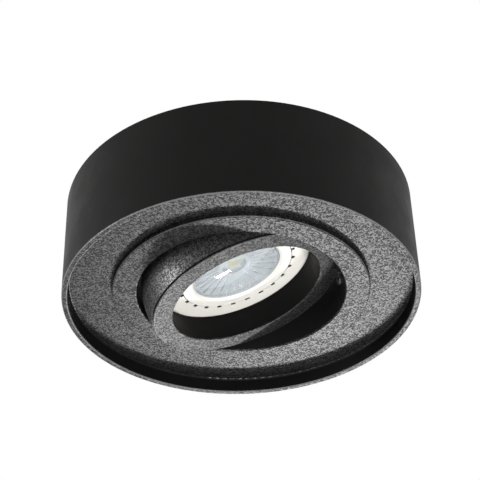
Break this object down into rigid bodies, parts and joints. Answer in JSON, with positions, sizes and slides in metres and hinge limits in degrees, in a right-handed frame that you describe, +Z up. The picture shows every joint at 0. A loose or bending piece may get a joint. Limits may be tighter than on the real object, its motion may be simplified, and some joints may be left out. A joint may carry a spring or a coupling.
{
  "type": "surface mounted ceiling spotlight",
  "caption": "Shallow round black ceiling spotlight: surface can with a recessed web, swivelling trim and a tilting lamp ring that holds a white LED module with a clear lens.",
  "frame": {"origin": "centre of the ceiling plane: the middle of the mounting plate's upper face", "axes": "+Z up into the ceiling, the can hangs in -Z; the lamp ring's tilt axis lies along Y and the lamp, as stored, is tilted about it with its face turned towards +X"},
  "size_m": [0.11, 0.11, 0.0407],
  "materials": {
    "can_coat": "matte black powder coat, fine grain",
    "trim_coat": "textured black powder coat",
    "ring_coat": "textured black powder coat",
    "plate_zinc": "zinc plated steel sheet",
    "screw_black": "black oxide",
    "washer_nylon": "natural nylon",
    "spring_steel": "bright spring steel",
    "rivet_steel": "zinc plated",
    "box_plastic": "moulded, fine texture",
    "block_plastic": "natural polyamide",
    "clamp_brass": "drawn brass",
    "screw_zinc": "zinc plated",
    "lead_sheath": "smooth silicone sheath",
    "core_brown": "extruded insulation",
    "core_blue": "extruded insulation",
    "lamp_white": "warm white, satin",
    "lens_clear": "clear, polished",
    "board_white": "white solder mask",
    "led_yellow": "phosphor silicone",
    "pad_grey": "soft silicone pad",
    "sink_aluminium": "plain turned",
    "pin_tin": "tinned",
    "driver_laminate": "glass epoxy board",
    "choke_black": "moulded ferrite cover",
    "capacitor_red": "dipped film capacitor",
    "chip_black": "moulded package",
    "gland_rubber": "soft rubber"
  },
  "bodies": {
    "housing": {"can": "can_coat", "mounting_plate": "plate_zinc", "set_screws": "screw_black"},
    "trim": {"trim_ring": "trim_coat", "pivot_screws": "screw_black", "friction_washers": "washer_nylon", "leaf_springs": "spring_steel", "spring_rivets": "rivet_steel", "terminal_box_base": "box_plastic", "terminal_box_cover": "box_plastic", "terminal_block": "block_plastic", "terminal_clamps": "clamp_brass", "terminal_screws": "screw_zinc", "cord_clamp": "box_plastic", "cord_clamp_screws": "screw_zinc", "lamp_lead": "lead_sheath", "live_core": "core_brown", "neutral_core": "core_blue"},
    "lamp_head": {"lamp_ring": "ring_coat", "snap_ring": "spring_steel", "module_bezel": "lamp_white", "lens_holder": "lamp_white", "lens": "lens_clear", "led_board": "board_white", "led": "led_yellow", "thermal_pad": "pad_grey", "heat_sink": "sink_aluminium", "board_pins": "pin_tin", "driver_board": "driver_laminate", "driver_choke": "choke_black", "driver_capacitor": "capacitor_red", "driver_chips": "chip_black", "live_tail": "core_brown", "neutral_tail": "core_blue", "rear_shell": "lamp_white", "lead_gland": "gland_rubber", "module_screws": "screw_zinc"}
  },
  "joints": [
    {"name": "trim_swivel", "type": "hinge", "parent": "housing", "child": "trim", "pos_m": [0, 0, 0], "axis": [0, 0, 1], "range_deg": [-175, 175]},
    {"name": "lamp_tilt", "type": "hinge", "parent": "trim", "child": "lamp_head", "pos_m": [0, 0, -0.0252], "axis": [0, 1, 0], "range_deg": [-5.3, 44.7], "deforming": ["lamp_lead"]}
  ]
}
